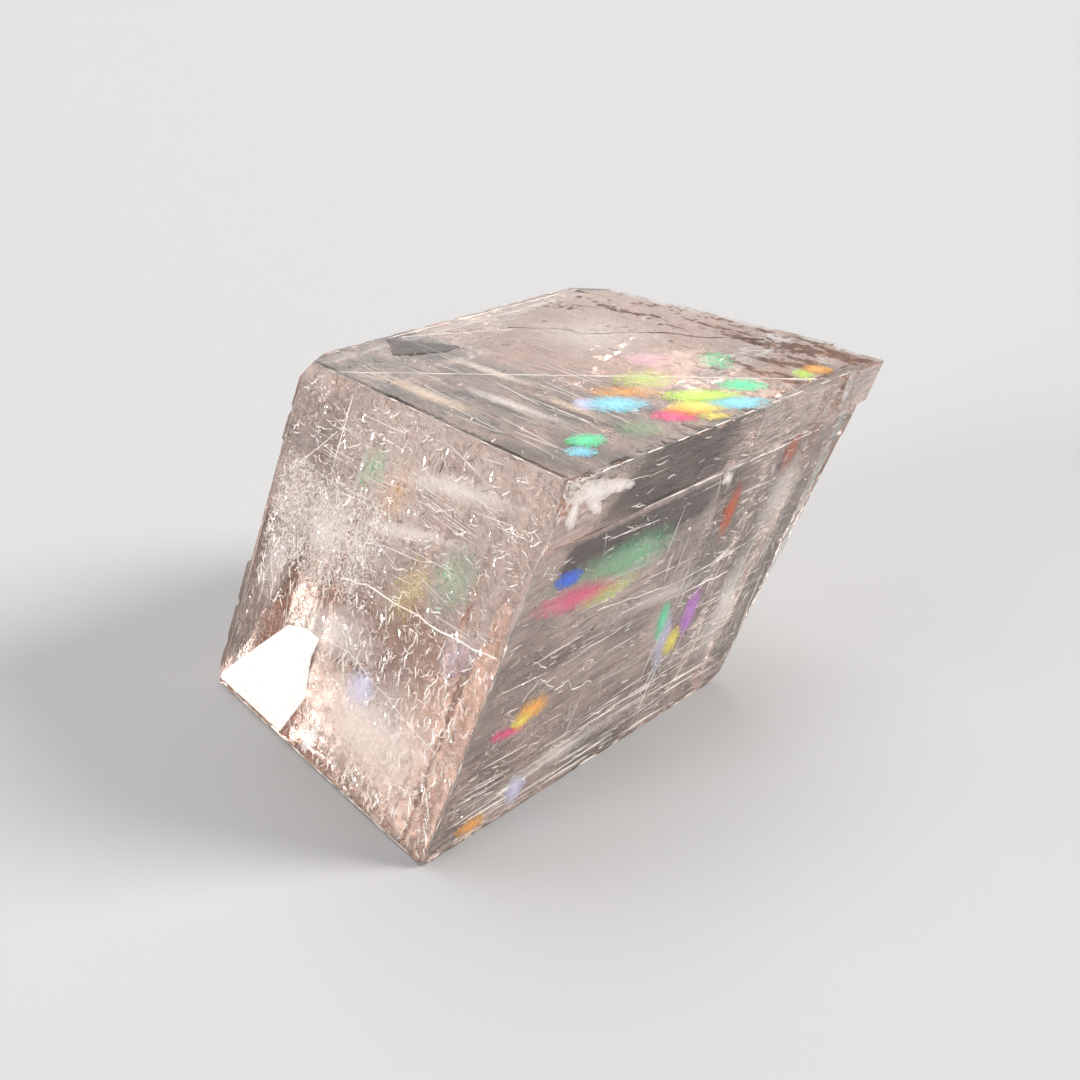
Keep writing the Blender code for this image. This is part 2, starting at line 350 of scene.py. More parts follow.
def room_round(mesh):
    """For every vertex, the length of its shortest edge, at most a millimetre."""
    room = [MOST_ROOM] * len(mesh.vertices)
    for edge in mesh.edges:
        first, last = edge.vertices
        length = (mesh.vertices[first].co - mesh.vertices[last].co).length / MM
        room[first], room[last] = min(room[first], length), min(room[last], length)
    return room

# %% [markdown]
# The finish can't know which face it is on, so the mesh tells it. Each crossing holds a tone, which
# is how much light it lets through, and how strong the fine streaks are. Grain is its place drawn
# out along the streaks, and only broken places are rough. On the front, top and left the tone is
# painted shade and light: dark bands across the front and the top stand for the shade where inner
# cracks send the light elsewhere. The far faces get a tone that varies at random.

# %% Painted shade tones, streaks and grain
def front_painted_light_and_shade(p, q, r):
    """Painted shade: dark below the ledge, along its middle, in blotches lower down and towards the foot;
    painted light at the ledge's ends and the far end.
    """
    cloud = wave(0.16 * p, 0.16 * q, 0.16 * r, 3.0)
    below_ledge = smooth(r, 12.2, 13.2) * (1.0 - smooth(r, 16.5 + 3.0 * cloud, 22.0))
    painted_shade_band = below_ledge * smooth(q, 5.5, 8.0) * (1.0 - 0.8 * smooth(q, 42.0, 54.0))
    ledge = 1.0 - smooth(r, 10.5, 12.4)
    ledge_shade = smooth(q + 0.6 * r, 12.0, 19.0) * (1.0 - smooth(q, 38.0, 50.0))
    painted_shade_blotch = smooth(wave(0.05 * p, 0.07 * q, 0.1 * r, 11.0), 0.45, 0.7) * smooth(r, 13.0, 20.0)
    foot, far_end = smooth(r, 52.0, 66.0), smooth(q, 48.0, 58.0)
    return (0.66 - 0.58 * painted_shade_band - 0.10 * foot + 0.30 * far_end
            + (0.50 - 1.02 * ledge_shade) * ledge - 0.2 * cloud - 0.3 * painted_shade_blotch)

def top_painted_shade(p, q, r):
    """Painted shade: feathered dark streaks on the near half, a dark wedge at the back, and a dim far
    corner.
    """
    cloud = wave(0.16 * p, 0.16 * q, 0.16 * r, 3.0)
    wedge = smooth(p, 55.0, 60.0) * smooth(q, 15.0, 19.0) * (1.0 - smooth(q, 24.0, 29.0))
    near = 1.0 - smooth(q + 0.5 * p, 34.0, 56.0)
    feather = smooth(wave(0.07 * p, 0.22 * q, 0.0, 12.0), 0.38, 0.62)
    far = smooth(q, 56.0, 66.0) * (1.0 - smooth(p, 20.0, 40.0))
    return 1.0 - 0.9 * wedge - near * (0.12 + 0.72 * feather) - 0.35 * far * cloud

def left_painted_shade(p, q, r):
    """Painted shade: a dim patch by the back edge, and soft shaded folds all over."""
    patch = smooth(p, 56.0, 58.5) * smooth(r, 2.0, 5.0) * (1.0 - smooth(r, 15.0, 22.0))
    painted_fold_shade = smooth(wave(0.10 * p + 0.06 * r, 0.0, 0.16 * r - 0.05 * p, 15.0), 0.42, 0.66)
    return 1.0 - 0.5 * patch - 0.15 * painted_fold_shade

def far_tone(p, q, r):
    return 1.0 - 0.25 * smooth(wave(0.1 * p, 0.1 * q, 0.1 * r, 17.0), 0.4, 0.65)

def top_streaks(p, q, r):
    near = 1.0 - smooth(q + 0.35 * p, 34.0, 54.0)
    return 0.18 + (0.4 + 1.0 * wave(0.08 * p, 0.12 * q, 0, 4.0)) * near

# Painted shade and light for the front, top and left; the far faces get a random tone.
PAINTED_SHADE_TONES = {"front": front_painted_light_and_shade, "top": top_painted_shade, "left": left_painted_shade}
STREAKS = {   # how strongly the fine streaks shade each side, at a place
    "left": lambda p, q, r: 0.35 + 0.5 * wave(0.12 * p, 0, 0.12 * r, 8.0), "top": top_streaks,
    "front": lambda p, q, r: 0.35 + 0.9 * wave(0, 0.09 * q, 0.14 * r, 6.0),
    "base": lambda p, q, r: 0.3, "back": lambda p, q, r: 0.4, "end": lambda p, q, r: 0.4,
    "broken": lambda p, q, r: 0.2,
}
GRAIN = {   # a place in the crystal, drawn out along the streaks of each side
    "left": lambda p, q, r: (0.55 * p + 0.2 * r, 0.75 * r, 0.0),
    "top": lambda p, q, r: (0.10 * p, 0.30 * q - 0.03 * p + 0.8 * wave(0.08 * p, 0.1 * q, 0.0), 7.0),
    "front": lambda p, q, r: (0.10 * q, 0.75 * r + 0.05 * q, 14.0),
    "base": lambda p, q, r: (0.4 * p, 0.4 * q, 21.0),
    "back": lambda p, q, r: (0.2 * q, 0.6 * r, 28.0),
    "end": lambda p, q, r: (0.6 * p, 0.2 * r, 35.0),
    "broken": lambda p, q, r: (0.5 * p, 0.5 * q, 0.5 * r),
}
BROKEN_ROUGHNESS = 0.25
MARKS = (("grain", "FLOAT_VECTOR", "CORNER"), ("tone_and_painted_shade", "FLOAT", "POINT"),
         ("streaks", "FLOAT", "POINT"), ("roughness", "FLOAT", "FACE"))

def press(vertex, side, room):
    """Push one crossing into its side, and slide it a little within it."""
    where = TO_CLEAVAGE @ vertex.co
    depth = RELIEF[side](*where) + ROUGHEN[side] * score_dice.random()
    depth = min(DEEPEST * room, depth * calm(*where))
    slide = Vector([SLIDE * room * use * score_dice.uniform(-1.0, 1.0) for use in IN_FACE[side]])
    vertex.co = CLEAVAGE @ (where + slide) - OUTWARD[side] * depth * MM

def mark_and_press(mesh):
    """Note each face's side, then push the inner crossings of every side in and about."""
    face_sides = [side_of(polygon.normal) for polygon in mesh.polygons]
    met, room, pressed = sides_met(mesh, face_sides), room_round(mesh), 0
    for label, kind, domain in MARKS:
        mesh.attributes.new(label, kind, domain)
    marks = mesh.attributes
    for vertex, touched in zip(mesh.vertices, met):
        where = TO_CLEAVAGE @ vertex.co
        if len(touched) == 1 and "broken" not in touched:
            press(vertex, next(iter(touched)), room[vertex.index])
            pressed += 1
        facing = next((side for side in OUTWARD if side in touched), "broken")
        marks["tone_and_painted_shade"].data[vertex.index].value = PAINTED_SHADE_TONES.get(facing, far_tone)(*where)
        marks["streaks"].data[vertex.index].value = STREAKS[facing](*where)
    for polygon, side in zip(mesh.polygons, face_sides):
        marks["roughness"].data[polygon.index].value = BROKEN_ROUGHNESS if side == "broken" else 0.0
        for loop in polygon.loop_indices:
            corner = mesh.vertices[mesh.loops[loop].vertex_index].co
            marks["grain"].data[loop].vector = GRAIN[side](*(TO_CLEAVAGE @ corner))
    print("crossings pressed", pressed, "of", len(mesh.vertices))

mark_and_press(crystal.data)

# %% [markdown]
# The finish of the crystal is clear calcite: plain transmission, its bending of light, and a faint
# pink that deepens with the length of the way through. Its colour carries the painted shade of each
# crossing's tone. The grain raises a fine bump, and paints shade into the veins between the
# streaks, which a clear wall can only do through its colour.

# %% Crystal finish
BENDING = 1.6   # calcite bends light by two values, 1.66 and 1.49, and this one lies between them
CLEAR_TINT, PAINTED_SHADE_TINT = (1.0, 0.965, 0.94), (0.02, 0.018, 0.017)
DEPTH_TINT, DEPTH_STRENGTH = (0.95, 0.68, 0.55, 1.0), 9.0
BUMP_SHARE, VEIN_SHADE, VEIN_GRAIN = 0.14, 0.85, (0.34, 0.60)

def crystal_finish():
    material, tree, shader = new_finish("clear_calcite_finish")
    absorb = node(tree, "ShaderNodeVolumeAbsorption", {"Color": DEPTH_TINT, "Density": DEPTH_STRENGTH})
    feed(tree, tree.nodes["Material Output"], {"Volume": absorb.outputs[0]})
    grain = noise(tree, mark(tree, "grain", "Vector"), 1.3, 3.0, 0.6, 0.8)
    streaks = mark(tree, "streaks")
    height = maths(tree, "MULTIPLY", grain, maths(tree, "MULTIPLY", streaks, BUMP_SHARE))
    bump = node(tree, "ShaderNodeBump", {"Height": height, "Strength": 1.0, "Distance": MM})
    # Painted shade: the veins are darkened through the colour, and so are the crossings' shaded tones.
    painted_vein_shade = maths(tree, "MULTIPLY", streaks, ranged(tree, grain, *VEIN_GRAIN, VEIN_SHADE, 0.0))
    passed_with_painted_shade = maths(tree, "MULTIPLY", mark(tree, "tone_and_painted_shade"), maths(tree, "SUBTRACT", 1.0, painted_vein_shade))
    feed(tree, shader, {
        "Base Color": mixed(tree, passed_with_painted_shade, PAINTED_SHADE_TINT, CLEAR_TINT), "Roughness": mark(tree, "roughness"),
        "IOR": BENDING, "Transmission Weight": 1.0, "Normal": bump.outputs[0]})
    return material

crystal.data.materials.append(crystal_finish())
print("crystal finish:", crystal.data.materials[0].name)

# %% [markdown]
# Calcite is full of fine cracks. Each short one shows as a bright curled thread. A curve with a
# round bevel would do for one, but thousands are needed, each of a few faces. So a few threads are
# drawn out one by one, by extruding a tiny triangle along a wandering path, and then copied.

# %% Curled threads
flaw_dice = random.Random(5)
SWELL, TAPER = (1.9, 1.5), 0.62   # how a thread's girth grows at its start, and shrinks at its end

def draw_thread(name, steps, reach, curl, girth, carry):
    """One thread in millimetres, along +X from the origin. With carry it curls, without it zigzags."""
    select_only()
    bpy.ops.mesh.primitive_circle_add(vertices=3, radius=0.3 * girth, fill_type="NGON",
                                      rotation=(0.0, math.radians(90.0), 0.0))
    thread = bpy.context.object
    thread.name = name
    bpy.ops.object.transform_apply(location=True, rotation=True, scale=True)
    bpy.ops.object.mode_set(mode="EDIT")
    bpy.ops.mesh.select_all(action="SELECT")
    heading, tip, turn = 0.0, Vector((0.0, 0.0, 0.0)), flaw_dice.uniform(-1.0, 1.0) * curl
    for step in range(steps):
        turn = carry * turn + flaw_dice.uniform(-1.0, 1.0) * curl - (0.0 if carry else heading)
        heading += turn
        move = Vector((math.cos(heading), math.sin(heading), 0.0)) * reach / steps
        tip += move
        grow = SWELL[step] if step < len(SWELL) else (TAPER if step > steps - 3 else 1.0)
        bpy.ops.mesh.extrude_region_move(TRANSFORM_OT_translate={"value": move})
        bpy.ops.transform.rotate(value=-turn, orient_axis="Z", center_override=tip)
        bpy.ops.transform.resize(value=(grow, grow, grow), center_override=tip)
    bpy.ops.object.mode_set(mode="OBJECT")
    return thread

def thread_set(name, count, steps, reach, curl, girth, carry=0.0):
    """Draw several threads, keep their points and faces, and clear the drafts away."""
    kept = []
    for index in range(count):
        draft = draw_thread(f"{name}_{index}", steps, reach, curl, girth, carry)
        mesh = draft.data
        kept.append(([v.co.copy() for v in mesh.vertices], [tuple(p.vertices) for p in mesh.polygons]))
        bpy.data.objects.remove(draft)
        bpy.data.meshes.remove(mesh)
    print(name, count, "threads of", len(kept[0][1]), "faces")
    return kept

CURLS = thread_set("curl", 6, 7, 3.0, 0.8, 0.17, 0.6)
JAGS = thread_set("jag", 8, 6, 3.0, 0.95, 0.18)
SPLINTERS = thread_set("splinter", 8, 5, 2.8, 0.4, 0.18)
HAIRS = thread_set("hair", 6, 6, 16.0, 0.05, 0.14)
NEEDLES = thread_set("needle", 5, 5, 8.0, 0.004, 0.30)
FORKS = thread_set("fork", 6, 9, 7.0, 1.0, 0.17)

# %% [markdown]
# A crack's wall throws light back. The white ones are dusty, the tan ones are darker and warmer,
# and the silver ones are clean gaps that mirror the lamps. Their finishes are slightly blotched, so
# that no two threads look quite alike.

# %% Flaw finishes
BLOTCHES_PER_METRE, BLOTCH_SHADE = 300.0, 0.82

def flaw_finish(name, colour, roughness=0.45, metallic=0.0):
    material, tree, shader = new_finish(name)
    place = node(tree, "ShaderNodeTexCoord", {}).outputs["Object"]
    blotch = ranged(tree, noise(tree, place, BLOTCHES_PER_METRE, 2.0), 0.35, 0.65)
    darker = [BLOTCH_SHADE * v for v in colour]
    feed(tree, shader, {"Base Color": mixed(tree, blotch, colour, darker),
                        "Roughness": roughness, "Metallic": metallic})
    return material

WHITE_FLAW = flaw_finish("white_flaw", (1.0, 0.95, 0.91))
TAN_FLAW = flaw_finish("tan_flaw", (0.72, 0.60, 0.54))
SILVER_FLAW = flaw_finish("silver_flaw", (0.98, 0.93, 0.90), 0.18, 1.0)
DARK_FLAW = flaw_finish("dark_flaw", (0.11, 0.08, 0.07), 0.6)
print("flaw finishes:", [finish.name for finish in (WHITE_FLAW, TAN_FLAW, SILVER_FLAW, DARK_FLAW)])

# %% [markdown]
# Threads are placed in a face: by two distances along it, and a depth under it. Three faces don't
# lie quite along a cleavage: the front has a ledge, and the back and the end lean. So each place
# is worked out from a simple level for its face, and a copy that would poke out of that is dropped.
# The levels don't know the crystal's small cuts, so there a few copies stand off the skin, by up to
# 1.7 mm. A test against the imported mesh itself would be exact, but slower.

# %% Places in a face
LEDGE_FOOT = 11.0   # how far down the front face its ledge reaches

def front_level(along, down):
    """How far the front face stands out: its ledge grows along the top edge."""
    if down > LEDGE_FOOT:
        return 0.0
    return 0.35 - 2.1 * (along + 20.0) / 64.0 if along < 44.0 else -1.95

def back_level(along, down):
    """How far back the back face lies."""
    return 75.6 - 0.0146 * along - 0.034 * down

def end_level(across, down):
    """How far along the end face lies."""
    return 85.2 - 0.09 * across - 0.085 * down

def inside(place):
    """True where a place in metres lies in the crystal, by the simple levels of its faces."""
    across, along, down = TO_CLEAVAGE @ place
    return (front_level(along, down) < across < back_level(along, down)
            and 0.0 < along < end_level(across, down) and 0.0 < down < DOWN)

def in_face(side, first, second, depth):
    """A place by two face coordinates and a depth, all in millimetres."""
    return Vector({
        "left": (first, depth, second), "end": (first, end_level(first, second) - depth, second),
        "front": (depth, first, second), "back": (back_level(first, second) - depth, first, second),
        "top": (first, second, depth), "base": (first, second, DOWN - depth)}[side])

def on_face(side, depth, *places):
    """Several places in a face at one depth."""
    return [in_face(side, first, second, depth) for first, second in places]

def headings(side, angle, lean):
    """Directions along and across a thread that lies in a face, and leans out of it a little."""
    across, along, down = Vector((1, 0, 0)), Vector((0, 1, 0)), Vector((0, 0, 1))
    first, second, inwards = {"left": (across, down, along), "end": (across, down, -along),
                              "front": (along, down, across), "back": (along, down, -across),
                              "top": (across, along, down), "base": (across, along, -down)}[side]
    return (first * math.cos(angle) + second * math.sin(angle),
            second * math.cos(angle) - first * math.sin(angle) + inwards * lean)

print("end face, mm along, at its four corners:",
      [round(end_level(across, down), 1) for across in (0, ACROSS) for down in (0, DOWN)])

# %% [markdown]
# Thousands of objects would be slow, so all copies of one kind are laid into one mesh. Each copy is
# one of the drawn threads, turned to lie along its heading and stretched to its size. Its girth can
# be kept the same for all sizes.

# %% Copying the threads
def ride_and_slot(piece):
    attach(piece, "root")

def lay(thread, place, girth):
    """The points of one copy of a thread. A place is a point, two headings and a size."""
    centre, heading, beside, size = place
    forward = (AXES @ heading).normalized()
    lifted = forward.cross(AXES @ beside).normalized()
    sideways = lifted.cross(forward)
    across = girth or size
    return [CLEAVAGE @ centre + (forward * point.x * size + sideways * point.y * across
                                 + lifted * point.z * across) * MM for point in thread]

def copy_threads(name, threads, finish, girth, places, tints=()):
    """Join copies of the threads into one piece; tints gives each place its own colour."""
    points, faces, colours, kept = [], [], [], 0
    for index, place in enumerate(places):
        thread, sides = flaw_dice.choice(threads)
        laid = lay(thread, place, girth)
        if all(inside(point) for point in laid):
            faces.extend(tuple(len(points) + corner for corner in side) for side in sides)
            points.extend(laid)
            colours.extend((*tints[index], 1.0) * len(laid) if tints else ())
            kept += 1
    mesh = bpy.data.meshes.new(name)
    mesh.from_pydata(points, [], faces)
    if tints:
        mesh.attributes.new("tint", "FLOAT_COLOR", "POINT")
        mesh.attributes["tint"].data.foreach_set("color", colours)
    piece = bpy.data.objects.new(name, mesh)
    scene.collection.objects.link(piece)
    mesh.materials.append(finish)
    ride_and_slot(piece)
    print(name, kept, "of", len(places), "threads,", len(faces), "faces")

# %% [markdown]
# Every face has its own crops of threads, and a crop is sown in patches. A patch says on which side
# it lies, how many threads it has, the box that holds them (from low to high both ways), and the
# ranges of their depth, their angle in degrees and their size. Most lie near the top of their range
# of depths, because only those catch the light directly.

# %% Sowing threads
SKIN, SHALLOW, DEEP, LEDGE = (0.02, 0.3), (0.3, 3.0), (1.0, 14.0), (-1.9, 0.3)   # depths
AROUND = (0, 360)
FULL_TURN = 6.28                         # the same way round, in radians
MOSTLY_SHALLOW = 1.6                     # the power that crowds the threads near the skin
SKIN_LEAN, DEEP_LEAN, THIN = 0.03, 0.7, 0.5   # deep threads may lean out of their face

def scatter_in(side, count, box, depths, angles, sizes):
    places, lean = [], SKIN_LEAN if depths[1] < THIN else DEEP_LEAN
    for _ in range(count):
        first, second = flaw_dice.uniform(*box[:2]), flaw_dice.uniform(*box[2:])
        depth = depths[0] + (depths[1] - depths[0]) * flaw_dice.random() ** MOSTLY_SHALLOW
        along, beside = headings(side, math.radians(flaw_dice.uniform(*angles)),
                                 flaw_dice.uniform(-lean, lean))
        places.append((in_face(side, first, second, depth), along, beside, flaw_dice.uniform(*sizes)))
    return places

def sow(*crops):
    """Each crop becomes one piece: its name, kind of thread, finish, girth and patches."""
    for name, threads, finish, girth, patches in crops:
        places = [place for patch in patches for place in scatter_in(*patch)]
        copy_threads(name, threads, finish, girth, places)

# %% [markdown]
# The left face is crinkled all over: short white jags crowd in its middle like crushed ice, and
# splinters run level above them and upright below. Silver jags glint between them.

# %% Threads of the left face
sow(
    ("left_jags", JAGS, WHITE_FLAW, None, (
        ("left", 1900, (36, 73, 17, 37), SKIN, AROUND, (0.15, 0.5)),
        ("left", 800, (1, 73, 1, 67), SKIN, AROUND, (0.15, 0.6)),
        ("left", 500, (1, 40, 34, 67), SKIN, AROUND, (0.15, 0.7)))),
    ("left_crinkles", JAGS, WHITE_FLAW, 0.4, (
        ("left", 1000, (39, 73, 17, 35), SKIN, AROUND, (0.3, 0.75)),)),
    ("left_curls", CURLS, WHITE_FLAW, None, (
        ("left", 400, (36, 73, 17, 37), SKIN, AROUND, (0.2, 0.6)),
        ("left", 200, (4, 70, 3, 65), SHALLOW, AROUND, (0.3, 1.0)))),
    ("left_splinters", SPLINTERS, WHITE_FLAW, None, (
        ("left", 700, (1, 73, 1, 34), SKIN, (-35, 30), (0.2, 1.0)),
        ("left", 900, (1, 73, 30, 67), SKIN, (40, 130), (0.2, 1.0)))),
    ("left_tan_splinters", JAGS, TAN_FLAW, None, (
        ("left", 1300, (1, 73, 1, 67), SKIN, AROUND, (0.2, 1.0)),)),
    ("left_silver_jags", JAGS, SILVER_FLAW, None, (
        ("left", 900, (1, 73, 1, 67), SKIN, AROUND, (0.2, 0.9)),
        ("left", 200, (4, 71, 3, 65), DEEP, AROUND, (0.3, 1.2)))),
    ("left_fibres", HAIRS, WHITE_FLAW, None, (
        ("left", 120, (1, 72, 1, 30), SKIN, (-22, 6), (0.2, 0.9)),
        ("left", 60, (30, 73, 30, 66), SKIN, (50, 130), (0.2, 0.7)))),
    ("left_forks", FORKS, WHITE_FLAW, None, (
        ("left", 120, (5, 70, 30, 64), SKIN, (20, 120), (0.4, 1.1)),
        ("left", 40, (2, 70, 2, 24), SKIN, (-20, 20), (0.4, 1.3)))),
)

# %% [markdown]
# The front face is drawn out along its length. Long hairs and splinters follow the streaks, and
# only at the far end do some stand upright. The ledge above has its own crowd.

# %% Threads of the front face
sow(
    ("front_tan_jags", JAGS, TAN_FLAW, None, (
        ("front", 600, (2, 30, 30, 67), SKIN, AROUND, (0.2, 0.7)),
        ("front", 400, (2, 80, 12, 67), SKIN, (-30, 40), (0.2, 0.7)))),
    ("front_splinters", SPLINTERS, WHITE_FLAW, None, (
        ("front", 500, (1, 82, 13, 67), SKIN, (-20, 20), (0.2, 1.1)),
        ("front", 260, (48, 82, 13, 62), SKIN, (-34, -6), (0.3, 1.4)),
        ("front", 120, (50, 82, 13, 60), SKIN, (70, 110), (0.2, 1.1)),
        ("front", 560, (1, 82, 1, 11), LEDGE, (-24, 10), (0.2, 1.1)))),
    ("front_silver_jags", JAGS, SILVER_FLAW, None, (
        ("front", 500, (1, 82, 13, 67), SKIN, AROUND, (0.2, 0.8)),)),
    ("front_forks", FORKS, WHITE_FLAW, None, (
        ("front", 60, (6, 74, 20, 64), SKIN, (-20, 40), (0.3, 1.1)),
        ("front", 40, (6, 74, 20, 64), DEEP, (-30, 50), (0.3, 1.1)))),
    ("front_hairs", HAIRS, WHITE_FLAW, None, (
        ("front", 170, (1, 80, 13, 67), SKIN, (-4, 4), (0.2, 1.3)),
        ("front", 200, (3, 62, 54, 67), SKIN, (-4, 3), (0.2, 0.8)),
        ("front", 140, (2, 80, 1, 10), LEDGE, (-4, 8), (0.2, 0.9)))),
    ("front_upright_hairs", HAIRS, WHITE_FLAW, None, (
        ("front", 50, (46, 82, 12, 62), SKIN, (78, 98), (0.2, 1.0)),
        ("front", 30, (14, 50, 14, 50), SKIN, (70, 100), (0.2, 0.8)))),
)

# %% [markdown]
# The top face is the cleanest. Its threads run across it, from the left face's edge to the middle,
# and beyond that they are few and short.

# %% Threads of the top face
sow(
    ("top_hairs", HAIRS, WHITE_FLAW, None, (
        ("top", 150, (2, 73, 1, 34), SKIN, (-7, 5), (0.2, 1.1)),
        ("top", 40, (3, 70, 34, 76), SKIN, (-30, 30), (0.1, 0.5)))),
    ("top_jags", JAGS, TAN_FLAW, None, (
        ("top", 500, (2, 73, 1, 40), SKIN, (-25, 25), (0.2, 1.1)),
        ("top", 200, (2, 73, 40, 78), SKIN, (-60, 60), (0.2, 0.7)))),
)

# %% [markdown]
# The back, the end and the base are worn in the same style. They are seen through the crystal too,
# where their threads soften what would else be clear reflections.

# %% Threads of the far faces
sow(
    ("far_jags", JAGS, TAN_FLAW, None, (
        ("back", 700, (2, 84, 2, 67), SKIN, AROUND, (0.2, 0.8)),
        ("end", 600, (2, 74, 2, 67), SKIN, AROUND, (0.2, 0.8)),
        ("base", 500, (2, 73, 2, 78), SKIN, AROUND, (0.2, 0.8)))),
    ("far_splinters", SPLINTERS, WHITE_FLAW, None, (
        ("back", 700, (2, 84, 2, 67), SKIN, (-30, 30), (0.2, 1.1)),
        ("end", 600, (2, 74, 2, 67), SKIN, (60, 120), (0.2, 1.1)),
        ("base", 400, (2, 73, 2, 78), SKIN, (-40, 40), (0.2, 1.1)))),
    ("far_hairs", HAIRS, WHITE_FLAW, None, (
        ("back", 130, (3, 82, 3, 66), SKIN, (-14, 10), (0.2, 1.2)),
        ("end", 110, (3, 72, 3, 66), SKIN, (76, 104), (0.2, 1.1)),
        ("base", 80, (3, 72, 3, 76), SKIN, (-20, 20), (0.2, 1.0)))),
    ("far_silver_jags", JAGS, SILVER_FLAW, None, (
        ("back", 400, (2, 84, 2, 67), SKIN, AROUND, (0.2, 0.8)),
        ("end", 400, (2, 74, 2, 67), SKIN, AROUND, (0.2, 0.8)))),
)

# %% [markdown]
# The edges are worn white. Threads laid along them, in and on the bevel, are what is left of the
# many small knocks. Needles suit this best: they are straight, so they never leave the edge.

# %% Worn edges
WEAR_GIRTH, WEAR_SIZES, WEAR_TWIST = 0.38, (0.15, 0.6), 0.1
EDGES = (   # first end, second end, threads, how far they stray in millimetres
    ((1.0, 0.11, 0.11), (74.0, 0.11, 0.11), 190, 0.03),
    ((0.11, 0.11, 5.0), (0.11, 0.11, 62.0), 180, 0.03),
    ((-0.4, 5.0, 0.11), (-1.85, 70.0, 0.11), 150, 0.03),
    ((0.15, 0.15, 67.85), (73.0, 0.15, 67.85), 120, 0.1),
    ((0.15, 1.0, 67.85), (0.15, 78.0, 67.85), 120, 0.1),
    ((-0.6, 1.0, 10.9), (-1.85, 70.0, 10.6), 70, 0.1),
    ((75.2, 5.0, 0.15), (74.2, 72.0, 0.15), 120, 0.1),
    ((10.0, 84.2, 0.15), (64.0, 79.4, 0.15), 120, 0.1),
    ((75.1, 0.15, 6.0), (73.2, 0.15, 62.0), 120, 0.08),
    ((0.15, 83.6, 18.0), (0.15, 79.5, 66.0), 120, 0.1),
)

def edge_places(start, end, count, stray):
    first, last = Vector(start), Vector(end)
    along = (last - first).normalized()
    beside = Vector((along.y, along.z, along.x)).cross(along)
    places = []
    for _ in range(count):
        off = Vector([flaw_dice.uniform(-stray, stray) for _ in range(3)])
        where = first.lerp(last, flaw_dice.random()) + off
        twist = Vector([flaw_dice.uniform(-WEAR_TWIST, WEAR_TWIST) * stray for _ in range(3)])
        places.append((where, along + twist, beside, flaw_dice.uniform(*WEAR_SIZES)))
    return places

worn = [place for edge in EDGES for place in edge_places(*edge)]
copy_threads("worn_edges", NEEDLES, WHITE_FLAW, WEAR_GIRTH, worn)

# %% [markdown]
# A harder knock leaves a bruise: a crowd of short cracks that is thickest in its middle, which is
# how random draws from a bell curve fall. The broken near corner is filled with them evenly, by
# mixing its three points in random shares.

# %% Bruises and the broken corner
BRUISE_DEPTH, BRUISE_SIZES = 0.2, (0.25, 0.7)
BRUISE_ANGLES, BRUISE_LEANS, BELL_WIDTH = (-0.5, 0.9), (-0.8, 0.8), 0.5
BRUISES = (   # along the front, depth, down; threads; how far they spread each way
    ((7.0, -0.4, 0.4), 260, (5.0, 0.7, 2.6)),
    ((13.5, -0.6, 0.4), 120, (3.0, 0.6, 1.6)),
    ((1.6, 0.8, 1.2), 120, (1.4, 0.8, 1.6)),
    ((39.5, 0.5, 66.3), 30, (5.0, 0.4, 1.0)),
    ((72.0, 0.6, 33.2), 22, (2.0, 0.4, 1.2)),
    ((45.3, 0.5, 13.4), 18, (1.2, 0.4, 1.6)),
    ((39.0, -0.5, 8.1), 16, (1.2, 0.4, 1.2)),
)
CORNER = ((0.9, 0.05, 0.05), (-0.5, 6.6, 0.05), (-0.6, 0.05, 9.6))
CORNER_THREADS, CORNER_SIZES = 260, (0.15, 0.5)

def bruise_places(middle, count, spread):
    first, depth, down = middle
    places = []
    for _ in range(count):
        off = [flaw_dice.gauss(0.0, BELL_WIDTH) * v for v in spread]
        along, beside = headings("front", flaw_dice.uniform(*BRUISE_ANGLES),
                                 flaw_dice.uniform(*BRUISE_LEANS))
        where = Vector((depth + abs(off[1]) + BRUISE_DEPTH, first + off[0], down + abs(off[2])))
        places.append((where, along, beside, flaw_dice.uniform(*BRUISE_SIZES)))
    return places

def corner_places(corner, count):
    """Places on a broken-off corner, given by its three points."""
    a, b, c = [Vector(point) for point in corner]
    one_way, other_way, places = (b - a).normalized(), (c - a).normalized(), []
    for _ in range(count):
        low, high = sorted((flaw_dice.random(), flaw_dice.random()))
        turn = flaw_dice.uniform(0.0, FULL_TURN)
        along = one_way * math.cos(turn) + other_way * math.sin(turn)
        beside = one_way * math.sin(turn) - other_way * math.cos(turn)
        places.append((a * low + b * (high - low) + c * (1.0 - high), along, beside,
                       flaw_dice.uniform(*CORNER_SIZES)))
    return places

bruised = [place for bruise in BRUISES for place in bruise_places(*bruise)]
copy_threads("bruises", JAGS, WHITE_FLAW, None, bruised)
copy_threads("corner_jags", JAGS, WHITE_FLAW, None, corner_places(CORNER, CORNER_THREADS))

# %% [markdown]
# The longest cracks meet a face in lines that can be followed with the eye. A row of threads would
# break up, so each line is one extrusion: a triangle is drawn out from stop to stop, which bends a
# little every few millimetres, and its width changes a little at every bend.

# %% Drawing a crack line
WIDTH_SWAY = (0.7, 1.2)
CRACK_DEPTH = 0.2

def jagged(stops, every, stray):
    """The same line, bent a little every few millimetres, and only the ways that it already runs."""
    bent = [Vector(stops[0])]
    for first, last in zip(stops, stops[1:]):
        first, last = Vector(first), Vector(last)
        pieces = max(1, round((last - first).length / every))
        for index in range(1, pieces + 1):
            off = Vector([flaw_dice.uniform(-stray, stray) * (way != 0) for way in (last - first)])
            bent.append(first.lerp(last, index / pieces) + off)
    return bent

